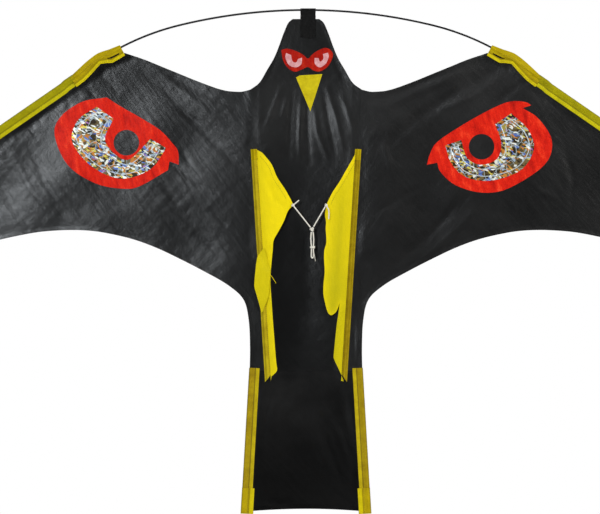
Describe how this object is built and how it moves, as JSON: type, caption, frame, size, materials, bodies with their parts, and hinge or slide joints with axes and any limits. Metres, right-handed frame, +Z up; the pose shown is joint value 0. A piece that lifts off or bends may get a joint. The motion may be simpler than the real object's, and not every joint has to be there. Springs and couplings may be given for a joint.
{
  "type": "bird scarer kite",
  "caption": "Hawk-shaped cloth kite that scares birds: a bent rod carries a black sail with painted eyes, and a string bridle hangs from its keels.",
  "frame": {"origin": "middle of the bow rod, inside the webbing loop on the head", "axes": "+X across the wings to the picture's right, +Y out of the back of the kite, +Z up through the head"},
  "size_m": [1.416, 0.0174, 0.7591],
  "materials": {
    "sail_cloth": "thin black plain-weave cloth with a faint sheen",
    "rod": "black glass fibre rod, satin",
    "ferrule_metal": "plain drawn tube",
    "cap_rubber": "matt moulded rubber",
    "sleeve_tape": "olive-yellow woven tape, folded over and stitched",
    "patch_tape": "yellow woven tape, stitched double",
    "webbing": "black ribbed webbing",
    "fin_cloth": "bright yellow thin cloth with a hemmed edge",
    "string": "white twisted string",
    "red_film": "red film, slightly mottled",
    "white_film": "pale pink-white film",
    "yellow_film": "yellow film",
    "foil_film": "silver film in facets that shift in colour"
  },
  "bodies": {
    "sail": {"sail_center": "sail_cloth", "sail_wing_left": "sail_cloth", "sail_wing_right": "sail_cloth", "sail_tail": "sail_cloth", "bow_spar": "rod", "wing_spar_left": "rod", "wing_spar_right": "rod", "ferrule_left": "ferrule_metal", "ferrule_right": "ferrule_metal", "spar_cap_left": "cap_rubber", "spar_cap_right": "cap_rubber", "wing_sleeve_left": "sleeve_tape", "wing_sleeve_right": "sleeve_tape", "shoulder_patch_left": "patch_tape", "shoulder_patch_right": "patch_tape", "tip_patch_left": "patch_tape", "tip_patch_right": "patch_tape", "head_tab": "webbing", "tail_sleeve_left": "sleeve_tape", "tail_sleeve_right": "sleeve_tape", "tail_batten_left": "rod", "tail_batten_right": "rod", "tail_patch_left": "patch_tape", "tail_patch_right": "patch_tape", "keel_pocket_left": "sleeve_tape", "keel_pocket_right": "sleeve_tape", "keel_rod_left": "rod", "keel_rod_right": "rod", "face_mask": "red_film", "face_iris_left": "white_film", "face_iris_right": "white_film", "beak": "yellow_film", "wing_eye_left": "red_film", "wing_eye_right": "red_film", "iris_foil_left": "foil_film", "iris_foil_right": "foil_film"},
    "fin_left": {"keel_fin_left": "fin_cloth", "leg_tie_left": "string"},
    "fin_right": {"keel_fin_right": "fin_cloth", "leg_tie_right": "string"},
    "leg_left": {"bridle_leg_left": "string"},
    "leg_right": {"bridle_leg_right": "string"},
    "knot": {"bridle_knot": "string"},
    "tow": {"tow_loop": "string", "loop_knot": "string"}
  },
  "joints": [
    {"name": "keel_left", "type": "hinge", "parent": "sail", "child": "fin_left", "pos_m": [-0.07308, -0.0009, -0.209], "axis": [0.0616, 0, -0.9981], "range_deg": [0, 30]},
    {"name": "keel_right", "type": "hinge", "parent": "sail", "child": "fin_right", "pos_m": [0.07308, -0.0009, -0.209], "axis": [0.0616, 0, 0.9981], "range_deg": [0, 30]},
    {"name": "leg_left_turn", "type": "hinge", "parent": "fin_left", "child": "leg_left", "pos_m": [-0.0195, -0.0088, -0.293], "axis": [0.9858, -0.0397, -0.1631], "range_deg": [0, 43]},
    {"name": "leg_right_turn", "type": "hinge", "parent": "fin_right", "child": "leg_right", "pos_m": [0.03, -0.0088, -0.293], "axis": [0.8739, 0.227, 0.4299], "range_deg": [0, 40.5]},
    {"name": "knot_turn", "type": "hinge", "parent": "leg_left", "child": "knot", "pos_m": [0.009, -0.0088, -0.329], "axis": [-0.7539, 0.1788, 0.6322], "range_deg": [0, 58]},
    {"name": "tow_swing", "type": "hinge", "parent": "knot", "child": "tow", "pos_m": [0.009, -0.0088, -0.329], "axis": [-1, 0, 0], "range_deg": [0, 150]}
  ],
  "couplings": [
    {"joint": "keel_right", "follows": "keel_left", "ratio": 1},
    {"joint": "leg_left_turn", "follows": "keel_left", "ratio": 1.42},
    {"joint": "knot_turn", "follows": "keel_left", "ratio": 1.902},
    {"joint": "leg_right_turn", "follows": "keel_left", "ratio": 1.34}
  ]
}
